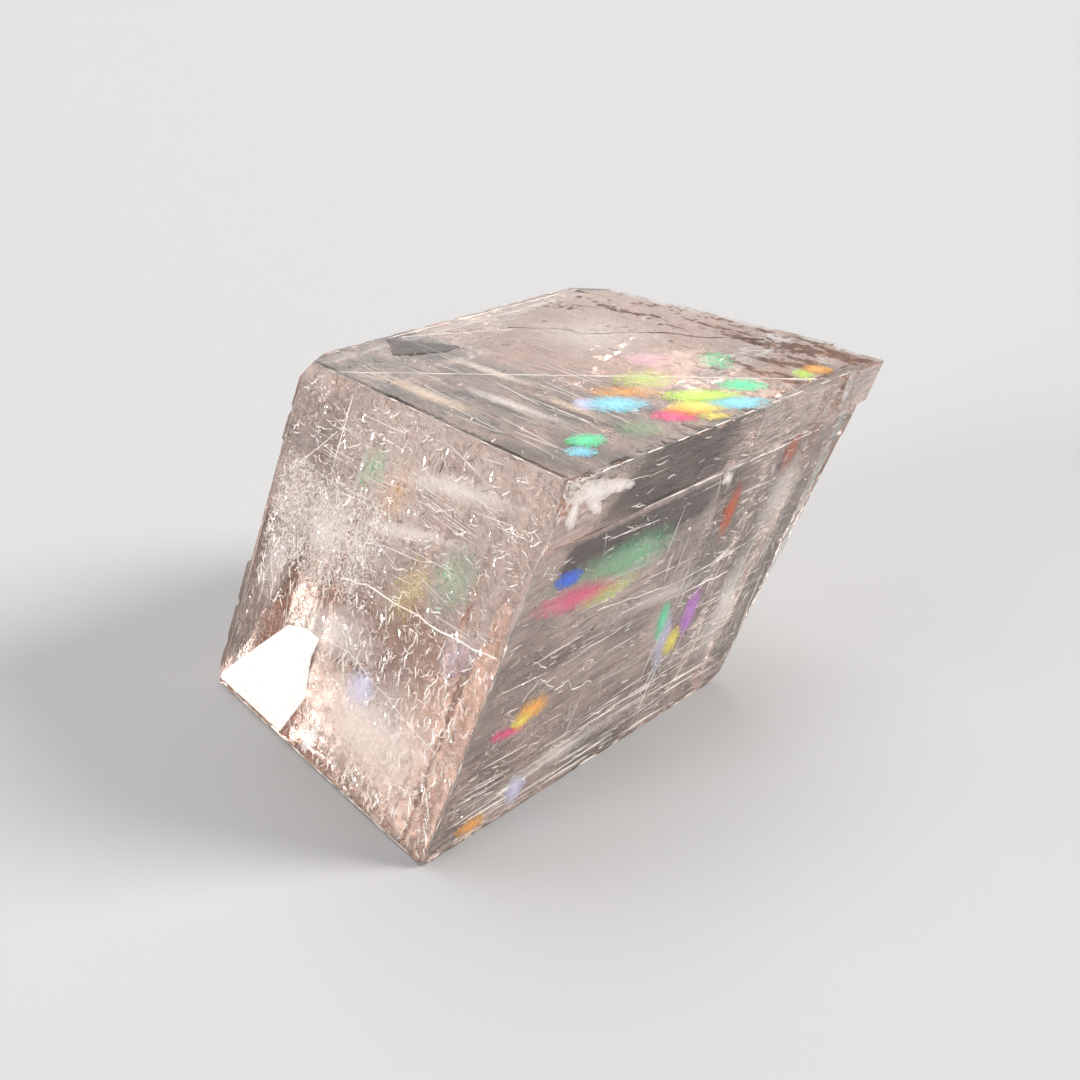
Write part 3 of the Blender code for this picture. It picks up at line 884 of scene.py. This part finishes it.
def crack_line(name, stops, girth, finish):
    """Extrude a triangle from stop to stop; stops and girth are in millimetres."""
    select_only()
    bpy.ops.mesh.primitive_circle_add(vertices=3, radius=1.0, fill_type="NGON")
    line = bpy.context.object
    line.name = name
    stops = [world(*stop) for stop in stops]
    turn = (stops[1] - stops[0]).to_track_quat("Z", "Y").to_matrix().to_4x4()
    line.data.transform(Matrix.Translation(stops[0]) @ turn @ Matrix.Scale(0.5 * girth * MM, 4))
    bpy.ops.object.mode_set(mode="EDIT")
    bpy.ops.mesh.select_all(action="SELECT")
    last_width = 1.0
    for here, there in zip(stops, stops[1:]):
        bpy.ops.mesh.extrude_region_move(TRANSFORM_OT_translate={"value": there - here})
        width = flaw_dice.uniform(*WIDTH_SWAY)
        grow, last_width = width / last_width, width
        bpy.ops.transform.resize(value=(grow, grow, grow), center_override=there)
    bpy.ops.mesh.select_all(action="SELECT")
    bpy.ops.mesh.normals_make_consistent(inside=False)
    bpy.ops.object.mode_set(mode="OBJECT")
    line.data.materials.append(finish)
    ride_and_slot(line)

def crack_lines(*cracks):
    """Each crack: name, side, stops, bend every, stray, girth, finish. Without a side, the stops
    are places in the crystal."""
    for name, side, stops, every, stray, girth, finish in cracks:
        stops = on_face(side, CRACK_DEPTH, *stops) if side else stops
        crack_line(name, jagged(stops, every, stray), girth, finish)
    print("crack lines", [crack[0] for crack in cracks])

# %% [markdown]
# The twin line is where the crystal's lattice flips over, so it is dead straight. The dark crack has
# healed, with dirt shut in. The others on the left and far faces border a pane or a veil.

# %% Cracks of the top, left and far faces
crack_lines(
    ("twin_line", None, ((65.5, 0.2, 0.17), (0.2, 65.0, 0.17)), 6.0, 0.02, 0.24, WHITE_FLAW),
    ("rim_line", "top", ((74.0, 22.0), (62.0, 42.5)), 5.0, 0.1, 0.18, WHITE_FLAW),
    ("dark_crack", "top", ((63.6, 42.3), (55.3, 49.9), (49.9, 50.8), (44.0, 58.0), (39.1, 63.9),
                           (30.6, 68.1), (21.4, 76.8)), 2.0, 0.35, 0.30, DARK_FLAW),
    ("dark_crack_branch", "top", ((49.9, 50.8), (50.6, 54.5), (46.0, 56.5)), 1.5, 0.3, 0.14, DARK_FLAW),
    ("dark_hook", "top", ((64.0, 60.5), (66.0, 64.0), (60.5, 66.5)), 1.5, 0.2, 0.20, DARK_FLAW),
    ("roof_line", "left", ((48.5, 45.5), (36.0, 44.5), (20.0, 47.5), (6.0, 50.0)),
     3.0, 0.25, 0.16, WHITE_FLAW),
    ("far_crack", None, ((74.0, 20.0, 5.0), (73.0, 45.0, 14.0), (72.0, 62.0, 30.0)),
     3.0, 0.35, 0.2, WHITE_FLAW),
    ("end_crack", None, ((66.0, 78.0, 8.0), (44.0, 79.0, 22.0), (20.0, 79.0, 44.0)),
     3.0, 0.35, 0.2, WHITE_FLAW),
    ("patch_line", "left", ((70.6, 21.0), (58.4, 8.9), (58.0, 2.2)), 4.0, 0.1, 0.19, WHITE_FLAW),
    ("patch_side_line", "left", ((58.0, 2.6), (57.3, 17.2)), 4.0, 0.15, 0.18, WHITE_FLAW),
    ("shoulder_line", "left", ((45.0, 33.4), (34.7, 31.3), (15.4, 31.1), (1.2, 29.9)),
     3.0, 0.3, 0.27, WHITE_FLAW),
)

# %% [markdown]
# The front face shows more of them than any other: the zigzag that steps from cleavage to cleavage,
# the tail of a chip in the ledge, long streaks both ways, and specks of dark dirt low down.

# %% Cracks of the front face
crack_lines(
    ("zigzag_crack", "front", ((9.0, 33.5), (13.2, 36.5), (12.9, 38.5), (18.9, 43.0), (22.0, 42.6),
                               (24.0, 45.4), (29.8, 46.0), (31.5, 50.0)), 1.6, 0.35, 0.29, WHITE_FLAW),
    ("zigzag_branch", "front", ((12.9, 38.5), (10.5, 41.5), (12.0, 45.0)), 1.5, 0.3, 0.27, WHITE_FLAW),
    ("hair_line_1", "front", ((10.1, 16.0), (14.0, 25.0), (19.5, 33.9)), 3.0, 0.2, 0.22, WHITE_FLAW),
    ("hair_line_2", "front", ((15.5, 13.5), (20.4, 26.9)), 3.0, 0.15, 0.20, WHITE_FLAW),
    ("chip_tail", "front", ((44.6, 12.5), (46.5, 18.0), (47.5, 26.5)), 2.0, 0.3, 0.27, WHITE_FLAW),
    ("long_streak_1", "front", ((22.0, 29.5), (45.0, 33.0), (60.0, 33.0), (74.0, 31.0)),
     3.0, 0.3, 0.23, WHITE_FLAW),
    ("long_streak_2", "front", ((18.0, 38.0), (40.0, 36.0), (63.0, 37.5)), 3.0, 0.35, 0.20, WHITE_FLAW),
    ("upright_streak_1", "front", ((72.0, 36.0), (65.0, 48.0), (60.0, 62.0)), 4.0, 0.2, 0.22, WHITE_FLAW),
    ("upright_streak_2", "front", ((76.0, 34.0), (70.0, 52.0), (66.0, 64.0)), 4.0, 0.2, 0.20, WHITE_FLAW),
    ("dark_specks_1", "front", ((44.5, 51.5), (48.0, 53.5), (50.0, 52.5), (54.0, 56.0)),
     1.2, 0.4, 0.20, DARK_FLAW),
    ("dark_specks_2", "front", ((55.0, 54.0), (57.5, 57.0), (60.2, 59.0)), 1.2, 0.4, 0.18, DARK_FLAW),
    ("dark_specks_3", "front", ((50.0, 55.5), (53.5, 59.0)), 1.2, 0.4, 0.16, DARK_FLAW),
)

# %% [markdown]
# Larger cracks are thin open lenses that lie in the cleavages. They show as milky veils; the dark
# pane among them is painted shade, and the bright glow pane is a painted reflection. A bare plane
# would do for one, but each is made closed: a fan of triangles round its middle, with a thin wall's
# thickness. Its points hold a tint and how strongly they are seen, and a cloudy noise frays the
# border between the middle and the rim.

# %% Crack sheets
SHEET_GAP = 0.05 * MM
LENS_POINTS = 28
SHEET_MARKS = (("cleavage", "FLOAT_VECTOR"), ("tint", "FLOAT_COLOR"), ("seen", "FLOAT_VECTOR"))

def lens(side, first, second, depth, half_first, half_second, angle=0.0, ragged=0.25):
    """A ragged ellipse of places in a face, at a depth."""
    turn, outline = math.radians(angle), []
    for index in range(LENS_POINTS):
        around = 2.0 * math.pi * index / LENS_POINTS
        reach = 1.0 - ragged * flaw_dice.random()
        x, y = half_first * reach * math.cos(around), half_second * reach * math.sin(around)
        outline.append(in_face(side, first + x * math.cos(turn) - y * math.sin(turn),
                               second + x * math.sin(turn) + y * math.cos(turn), depth))
    return outline

def crack_sheet(outline, tint, strength, rim, slant=0.0):
    """A closed sheet over an outline; rim sharpens its border, slant hides it from straight on."""
    select_only()
    bpy.ops.mesh.primitive_circle_add(vertices=len(outline), radius=1.0, fill_type="TRIFAN")
    sheet = bpy.context.object
    mesh = sheet.data
    middle = min(mesh.vertices, key=lambda vertex: vertex.co.length).index
    corners = [vertex.index for vertex in mesh.vertices if vertex.index != middle]
    corners.sort(key=lambda index: math.atan2(mesh.vertices[index].co.y, mesh.vertices[index].co.x))
    for index, place in zip(corners, outline):
        mesh.vertices[index].co = world(*place)
    mesh.vertices[middle].co = sum((world(*place) for place in outline), Vector()) / len(outline)
    for label, kind in SHEET_MARKS:
        mesh.attributes.new(label, kind, "POINT")
    marks = mesh.attributes
    for vertex in mesh.vertices:
        marks["cleavage"].data[vertex.index].vector = TO_CLEAVAGE @ vertex.co
        marks["tint"].data[vertex.index].color = (*tint, 1.0)
        marks["seen"].data[vertex.index].vector = (float(vertex.index == middle) or rim, strength, slant)
    gap = sheet.modifiers.new("gap", "SOLIDIFY")
    gap.thickness, gap.offset = SHEET_GAP, 0.0
    bpy.ops.object.modifier_apply(modifier="gap")
    return sheet

def sheet_finish():
    material, tree, shader = new_finish("crack_sheet_finish")
    from_rim, strength, slant = node(tree, "ShaderNodeSeparateXYZ", {
        "Vector": mark(tree, "seen", "Vector")}).outputs
    cloud = noise(tree, mark(tree, "cleavage", "Vector"), 0.9, 4.0, 0.75, 0.4)
    frayed = maths(tree, "SUBTRACT", from_rim, maths(tree, "MULTIPLY", cloud, 1.4))
    shown = maths(tree, "MULTIPLY", ranged(tree, frayed, -0.6, 0.35), strength)
    facing = node(tree, "ShaderNodeLayerWeight", {"Blend": 0.5}).outputs["Facing"]
    lit = maths(tree, "MAXIMUM", ranged(tree, facing, 0.25, 0.55), maths(tree, "SUBTRACT", 1.0, slant))
    feed(tree, shader, {"Base Color": mark(tree, "tint", "Color"), "Roughness": 0.3,
                        "Alpha": maths(tree, "MULTIPLY", shown, lit)})
    return material

def join_sheets(name, sheets):
    select_only(*sheets)
    bpy.ops.object.join()
    joined = bpy.context.object
    joined.name = joined.data.name = name
    joined.data.materials.clear()
    joined.data.materials.append(SHEET_FINISH)
    ride_and_slot(joined)
    print(name, len(sheets), "sheets", len(joined.data.polygons), "faces")

SHEET_FINISH = sheet_finish()

# %% [markdown]
# Where a crack's gap is as thin as a wave of light, it flashes in colours. The real colour depends
# on the gap and the eye, which a plain finish can't follow, so each flash is a painted reflection
# with its own colour and place: a soft sheet, with small flakes scattered over it that glint. The
# ones that overlap lie at slightly different depths, because two sheets in one plane would flicker.

# %% Rainbow flashes
FLASH_DEPTH, FLASH_STEP, FLASH_LAYERS = 0.05, 0.012, 4
FLASH_RAGGED, FLASH_RIM = 0.12, 0.15
FLAKES_A_SHEET, FLAKE_DEPTH, FLAKE_SIZES, FLAKE_GIRTH = 90, 0.1, (0.1, 0.3), 0.5
MOSTLY_NEAR_RIM, FLAKE_SHADES = 0.6, (0.8, 1.4)
CYAN, BLUE, GREEN, LIME = (0.30, 0.78, 0.95), (0.08, 0.20, 0.90), (0.15, 0.85, 0.45), (0.62, 0.92, 0.15)
YELLOW, ORANGE, ROSE, VIOLET = (0.98, 0.85, 0.20), (0.98, 0.50, 0.12), (0.92, 0.12, 0.30), (0.62, 0.25, 0.75)
OLIVE, RUST, PINK, LILAC = (0.30, 0.42, 0.28), (0.60, 0.14, 0.06), (0.95, 0.62, 0.72), (0.72, 0.72, 0.98)
FLASHES = (   # side, first, second, half length, half width, angle, tint, strength
    ("top", 17.3, 27.9, 6.8, 4.2, 134, CYAN, 0.9), ("top", 21.2, 23.7, 2.4, 3.6, 134, LILAC, 0.7),
    ("top", 22.4, 40.7, 7, 5.4, 134, LIME, 0.28), ("top", 20.7, 33.2, 8, 3.4, 134, ORANGE, 0.4),
    ("top", 9.4, 42.2, 8.4, 3.8, 134, LIME, 0.95), ("top", 8, 52, 5, 3.6, 134, GREEN, 0.9),
    ("top", 6.7, 38, 6, 3.4, 134, YELLOW, 0.95), ("top", 6.8, 31.6, 4.6, 3.2, 134, ROSE, 0.95),
    ("top", 3.2, 44.6, 7, 3.8, 134, CYAN, 1), ("top", 2, 36.6, 3.6, 1.9, 134, YELLOW, 0.5),
    ("top", 6.7, 23.1, 5.2, 4.4, 134, OLIVE, 0.45), ("top", 6.9, 34.9, 4.6, 3, 134, ORANGE, 0.9),
    ("top", 9.8, 12.9, 3.9, 3, 134, GREEN, 0.85), ("top", 7.2, 9.2, 3, 2.4, 134, CYAN, 0.6),
    ("top", 3.4, 69, 3.2, 3.4, 134, ORANGE, 0.6), ("top", 3.6, 65.2, 2.6, 3.2, 134, LIME, 0.5),
    ("top", 20.1, 59, 4.2, 5.6, 134, GREEN, 0.28), ("top", 29.4, 49.4, 5.4, 4.6, 134, PINK, 0.4),
    ("front", 9.9, 19.2, 4, 1.9, 10, BLUE, 0.95), ("front", 18, 20.8, 15.6, 4.2, 4, OLIVE, 0.6),
    ("front", 27, 21, 12.5, 5, 4, GREEN, 0.22), ("front", 14.5, 23.8, 12.5, 3.1, 8, ROSE, 0.55),
    ("front", 22, 26, 9.4, 2.2, 4, LIME, 0.3), ("front", 14.2, 44.6, 4.5, 2.6, 8, ORANGE, 0.95),
    ("front", 12.4, 45.8, 2.8, 1.9, 10, YELLOW, 0.8), ("front", 9.6, 47, 5.2, 1.2, 12, ROSE, 0.6),
    ("front", 55, 43, 6.2, 2.7, 78, VIOLET, 0.7), ("front", 46, 41, 5.2, 1.9, 70, GREEN, 0.8),
    ("front", 52.6, 47.8, 4, 2.6, 70, YELLOW, 0.7), ("front", 49, 46, 9.4, 2.6, 70, LILAC, 0.4),
    ("front", 53.2, 21.5, 6.5, 2.2, 82, RUST, 0.8), ("front", 67, 14, 6.2, 2.6, 80, RUST, 0.4),
    ("front", 9.4, 65, 4, 1.9, 5, ORANGE, 0.7), ("front", 18.7, 62.6, 4, 2.7, 60, LILAC, 0.7),
    ("left", 29.8, 49.2, 5.2, 4.6, 20, LILAC, 0.6), ("left", 46, 12.5, 5.5, 4.2, 60, GREEN, 0.1),
    ("left", 37.5, 14.1, 7, 4.8, 60, ORANGE, 0.1), ("left", 25.8, 27.9, 7.8, 5, 60, YELLOW, 0.1),
    ("left", 16.4, 22.3, 7.8, 6.3, 60, GREEN, 0.08), ("left", 10, 33, 5.8, 4.3, 60, LILAC, 0.12),
)
DEPTH_AXIS = {"front": 0, "left": 1, "top": 2}

def flash_outline(order, side, first, second, half_first, half_second, angle):
    depth = FLASH_DEPTH + FLASH_STEP * (order % FLASH_LAYERS)
    return lens(side, first, second, depth, half_first, half_second, angle, FLASH_RAGGED)

def flake_places(sheets):
    """Places for small flakes spread over the sheets, each a little lighter or darker than its sheet."""
    places, tints = [], []
    for side, outline, tint, strength in sheets:
        middle = sum(outline, Vector()) / len(outline)
        for _ in range(int(FLAKES_A_SHEET * strength)):
            reach = flaw_dice.random() ** MOSTLY_NEAR_RIM
            where = middle.lerp(flaw_dice.choice(outline), reach)
            where[DEPTH_AXIS[side]] += FLAKE_DEPTH
            along, beside = headings(side, flaw_dice.uniform(0.0, FULL_TURN),
                                     flaw_dice.uniform(-SKIN_LEAN, SKIN_LEAN))
            places.append((where, along, beside, flaw_dice.uniform(*FLAKE_SIZES)))
            tints.append([min(1.0, value * flaw_dice.uniform(*FLAKE_SHADES)) for value in tint])
    return places, tints

def flake_finish():
    material, tree, shader = new_finish("colour_flakes_finish")
    feed(tree, shader, {"Base Color": mark(tree, "tint", "Color"), "Roughness": 0.25})
    return material

flashes = [(row[0], flash_outline(order, *row[:6]), *row[6:]) for order, row in enumerate(FLASHES)]
flakes, flake_tints = flake_places(flashes)
copy_threads("colour_flakes", JAGS, flake_finish(), FLAKE_GIRTH, flakes, flake_tints)
join_sheets("colour_flashes", [crack_sheet(outline, tint, strength, FLASH_RIM)
                               for side, outline, tint, strength in flashes])

# %% [markdown]
# The veils are cracks that hold many tiny gaps, so they look like milk or pearl. Most of them lie
# at the skin, where they catch the light, and four large faint ones hang deep in the crystal. One
# dark pane on the top face is painted shade. The glow in the far low corner is a painted
# reflection: two white sheets, one at the skin and one just outside it, stand for a mirror inside
# the crystal, which shows at a slant and is gone from straight on, so their slant is set to one.

# %% Veils, the painted shade pane and the painted glow
PALE, WARM, PAINTED_GLOW = (0.96, 0.90, 0.86), (0.98, 0.80, 0.64), (0.96, 0.95, 0.94)
PAINTED_SHADE_PANE, PEARL = (0.12, 0.105, 0.10), (0.97, 0.84, 0.76)
VEILS = (
    (lens("left", 55, 27, 0.04, 22, 10), PALE, 0.22, 0.0),
    (lens("left", 22, 52, 0.04, 22, 14, 4), PALE, 0.26, 0.0),
    (lens("left", 42, 43, 0.05, 20, 8, 12), PALE, 0.36, 0.0),
    (lens("left", 66, 38, 0.05, 12, 7, 80), PALE, 0.26, 0.0),
    (on_face("left", 0.06, (45.0, 67.0), (47.0, 56.0), (46.5, 47.0), (36.0, 45.5), (20.0, 48.5), (5.0, 51.0),
             (3.0, 67.0)), PEARL, 0.50, 0.0),
    (lens("left", 24, 9, 0.05, 24, 3, 8), PALE, 0.34, 0.0),
    (lens("left", 30, 19, 0.05, 18, 2, 12), PALE, 0.30, 0.0),
    (lens("front", 6.5, 3.2, -0.72, 6.5, 2.3, 10), PALE, 0.98, 0.3),
    (lens("front", 12.0, 4.0, -0.74, 5.5, 1.3, 16), PALE, 0.98, 0.3),
    (lens("front", 7.5, 5.6, -0.66, 4.0, 1.2, 40), PALE, 0.98, 0.3),
    (lens("front", 3.0, 6.0, -0.60, 3.6, 1.5, 70), PALE, 0.90, 0.2),
    (lens("front", 68, 46, 0.04, 18, 6, 82), PALE, 0.46, 0.0),
    (lens("front", 70, 24, 0.04, 12, 8, 80), PALE, 0.34, 0.0),
    (lens("front", 47.0, 13.6, 0.02, 2.6, 1.4, 40), PALE, 0.9, 0.2),
    (lens("front", 57.5, 32.4, 0.02, 3.2, 1.3, -20), PALE, 0.9, 0.2),
    (lens("front", 30, 60, 0.04, 26, 3, -2), PALE, 0.26, 0.0),
    (lens("front", 40, 34, 0.04, 22, 2.6, 4), PALE, 0.22, 0.0),
    (lens("top", 44, 6, 0.06, 22, 2.6, -3), WARM, 0.42, 0.0),
    (lens("top", 30, 14, 0.06, 20, 2.4, -4), PALE, 0.34, 0.0),
    (lens("top", 46, 22, 0.06, 18, 2.2, -4), PEARL, 0.40, 0.0),
    (lens("top", 22, 21, 0.06, 14, 2.0, -2), WARM, 0.34, 0.0),
    (lens("top", 48, 52, 0.06, 20, 18), PALE, 0.20, 0.0),
    # painted shade: a dark pane on the top face
    (on_face("top", 0.05, (75.0, 19.0), (61.1, 27.0), (60.1, 22.8), (66.0, 14.0)), PAINTED_SHADE_PANE, 0.62, 0.9),
    # painted reflection: the glow sheets in the far low corner, one just outside the skin
    (on_face("left", -0.03, (73.3, 67.0), (73.0, 65.5), (56.0, 47.5), (50.0, 45.6), (45.3, 45.7),
             (46.0, 50.0), (44.1, 57.8), (46.0, 62.0), (48.3, 67.0)), PAINTED_GLOW, 0.95, 0.8, 1.0),
    (lens("left", 38.8, 63.6, 0.0, 3.8, 2.4, 70, 0.5), PAINTED_GLOW, 0.8, 0.4, 1.0),
    (lens("left", 30, 48, 16.0, 24, 16), PALE, 0.14, 0.0),
    (lens("front", 40, 42, 6.0, 34, 20), PALE, 0.10, 0.0),
    (lens("top", 44, 56, 10.0, 24, 18), PALE, 0.16, 0.0),
    (lens("top", 36, 38, 56.0, 30, 30), PALE, 0.14, 0.0),
)
join_sheets("veils", [crack_sheet(*veil) for veil in VEILS])
